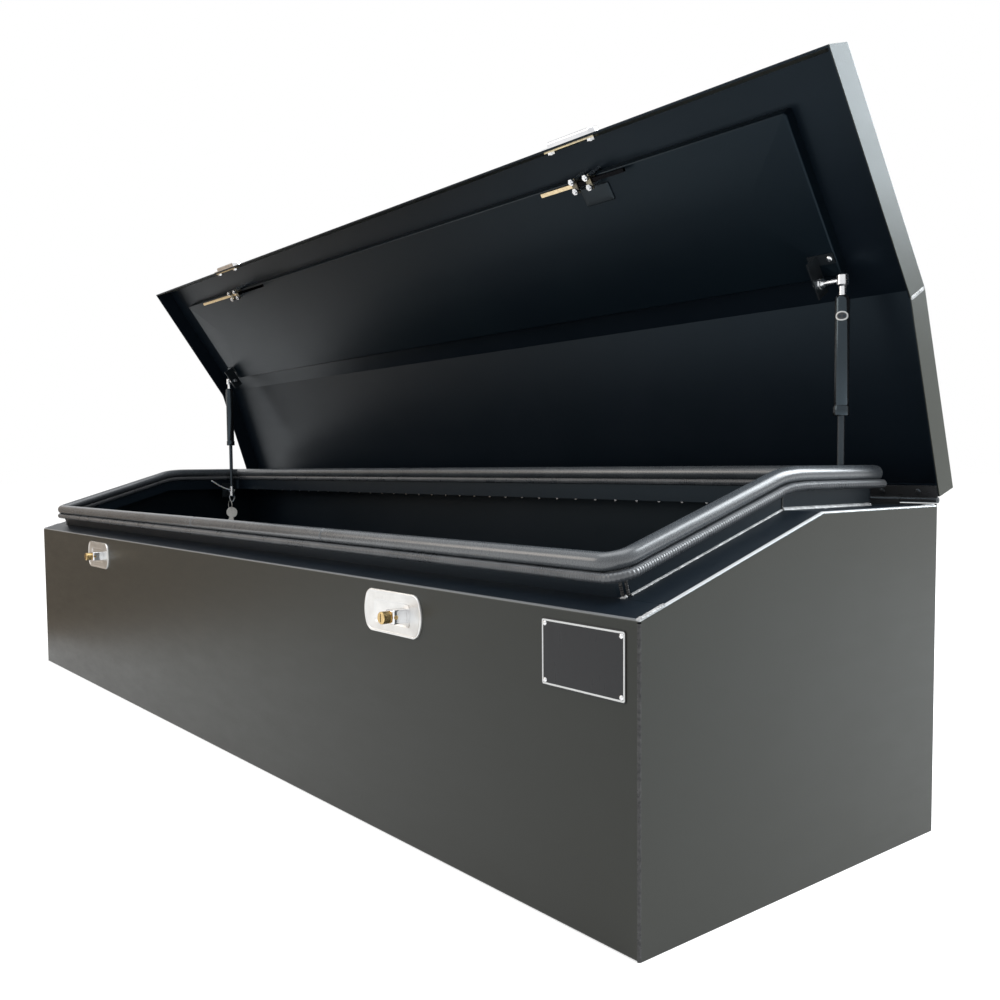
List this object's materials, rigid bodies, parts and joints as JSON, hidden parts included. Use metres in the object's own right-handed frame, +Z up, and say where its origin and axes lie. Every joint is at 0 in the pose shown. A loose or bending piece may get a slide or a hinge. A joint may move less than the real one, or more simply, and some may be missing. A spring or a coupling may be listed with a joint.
{
  "type": "toolbox",
  "caption": "long steel toolbox with a sloping front top, a seal round its mouth, a hinged lid on two gas struts and two key locks",
  "frame": {"origin": "centre of the footprint, on the surface that the box stands on", "axes": "+X along the length, +Z up, -Y towards the front with the locks"},
  "size_m": [1.8032, 0.561, 0.8508],
  "materials": {
    "powder_coat_box": "satin black powder coat",
    "powder_coat_lid": "satin black powder coat",
    "coated_weld": "rippled weld bead under black powder coat",
    "seal_rubber": "matt foam rubber bulb on a ribbed grip",
    "hinge_coat": "satin black coat on a rolled strip",
    "rivet_metal": "set rivet",
    "stainless": "pale stainless pressing",
    "chrome_plate": "bright plating",
    "brass_key": "machined brass",
    "gold_passivate": "yellow zinc plating",
    "zinc": "bright zinc plating",
    "strut_black": "black gas strut paint",
    "rod_black": "black nitrided piston rod",
    "dark_steel": "dark bracket paint",
    "liner_paint": "satin black powder coat",
    "tag_metal": "dark bare plate with a pale rim",
    "clear_plastic": "clear cable tie"
  },
  "bodies": {
    "box": {"front_sheet": "powder_coat_box", "floor_sheet": "powder_coat_box", "rear_sheet": "powder_coat_box", "end_plate_left": "powder_coat_box", "end_plate_right": "powder_coat_box", "body_welds": "coated_weld", "collar_front": "powder_coat_box", "collar_rear": "powder_coat_box", "collar_left": "powder_coat_box", "collar_right": "powder_coat_box", "collar_welds": "coated_weld", "seal": "seal_rubber", "hinge_leaf_box": "hinge_coat", "hinge_pin": "hinge_coat", "hinge_rivets": "rivet_metal", "maker_plate": "tag_metal", "maker_rivets": "rivet_metal", "lock_plates": "stainless", "lock_blocks": "chrome_plate", "lock_cross_pins": "brass_key", "lock_clamp_strips": "gold_passivate", "lock_nuts": "zinc", "hook_brackets": "zinc", "hook_pins": "zinc", "strut_anchors": "dark_steel", "cable_tie": "clear_plastic"},
    "lid": {"lid_skin": "powder_coat_lid", "lid_welds": "coated_weld", "lid_liner": "liner_paint", "hinge_leaf_lid": "hinge_coat", "hinge_screws": "hinge_coat", "keeper_plates": "chrome_plate", "keeper_strips": "gold_passivate", "keeper_nuts": "zinc", "catch_bar_left": "gold_passivate", "catch_bar_right": "gold_passivate", "catch_clamps": "gold_passivate", "catch_bolts": "zinc", "patch_plate": "dark_steel", "strut_brackets": "dark_steel", "strut_studs": "zinc", "strut_screws": "zinc"},
    "strut_tube_left": {"strut_tube_left": "strut_black", "strut_socket_upper_left": "zinc", "strut_gland_left": "dark_steel"},
    "strut_rod_left": {"strut_rod_left": "rod_black", "strut_socket_lower_left": "zinc"},
    "lock_barrel_left": {"lock_barrel_left": "brass_key", "lock_cam_left": "zinc"},
    "hook_lever_left": {"hook_lever_left": "zinc"},
    "strut_tube_right": {"strut_tube_right": "strut_black", "strut_socket_upper_right": "zinc", "strut_gland_right": "dark_steel"},
    "strut_rod_right": {"strut_rod_right": "rod_black", "strut_socket_lower_right": "zinc"},
    "lock_barrel_right": {"lock_barrel_right": "brass_key", "lock_cam_right": "zinc"},
    "hook_lever_right": {"hook_lever_right": "zinc"},
    "keys": {"key_ring": "zinc", "keys": "rivet_metal"}
  },
  "joints": [
    {"name": "lid_hinge", "type": "hinge", "parent": "box", "child": "lid", "pos_m": [0, 0.2507, 0.384], "axis": [1, 0, 0], "range_deg": [0, 72.3], "deforming": ["seal"]},
    {"name": "strut_head_left", "type": "hinge", "parent": "lid", "child": "strut_tube_left", "pos_m": [-0.826, 0.16561, 0.63417], "axis": [1, 0, 0], "range_deg": [0, 13.65]},
    {"name": "strut_rod_slide_left", "type": "slide", "parent": "strut_tube_left", "child": "strut_rod_left", "axis": [0, 0, 1], "range_m": [0, 0.0889]},
    {"name": "lock_turn_left", "type": "hinge", "parent": "box", "child": "lock_barrel_left", "pos_m": [-0.495, -0.2465, 0.262], "axis": [0, 1, 0], "range_deg": [0, 90]},
    {"name": "hook_swing_left", "type": "hinge", "parent": "box", "child": "hook_lever_left", "pos_m": [-0.502, -0.1865, 0.285], "axis": [1, 0, 0], "range_deg": [0, 14]},
    {"name": "strut_head_right", "type": "hinge", "parent": "lid", "child": "strut_tube_right", "pos_m": [0.826, 0.16561, 0.63417], "axis": [1, 0, 0], "range_deg": [0, 13.65]},
    {"name": "strut_rod_slide_right", "type": "slide", "parent": "strut_tube_right", "child": "strut_rod_right", "axis": [0, 0, 1], "range_m": [0, 0.0889]},
    {"name": "lock_turn_right", "type": "hinge", "parent": "box", "child": "lock_barrel_right", "pos_m": [0.545, -0.2465, 0.262], "axis": [0, 1, 0], "range_deg": [0, 90]},
    {"name": "hook_swing_right", "type": "hinge", "parent": "box", "child": "hook_lever_right", "pos_m": [0.538, -0.1865, 0.285], "axis": [1, 0, 0], "range_deg": [0, 14]},
    {"name": "keys_swing", "type": "hinge", "parent": "box", "child": "keys", "pos_m": [-0.837, 0.1655, 0.3581], "axis": [1, 0, 0], "range_deg": [-35, 35]}
  ],
  "couplings": [
    {"joint": "strut_head_left", "follows": "lid_hinge", "ratio": 0.18769},
    {"joint": "strut_rod_slide_left", "follows": "lid_hinge", "m_per_rad": 0.07029},
    {"joint": "hook_swing_left", "follows": "lock_turn_left", "ratio": 0.15555},
    {"joint": "strut_head_right", "follows": "lid_hinge", "ratio": 0.18769},
    {"joint": "strut_rod_slide_right", "follows": "lid_hinge", "m_per_rad": 0.07029},
    {"joint": "hook_swing_right", "follows": "lock_turn_right", "ratio": 0.15555}
  ]
}
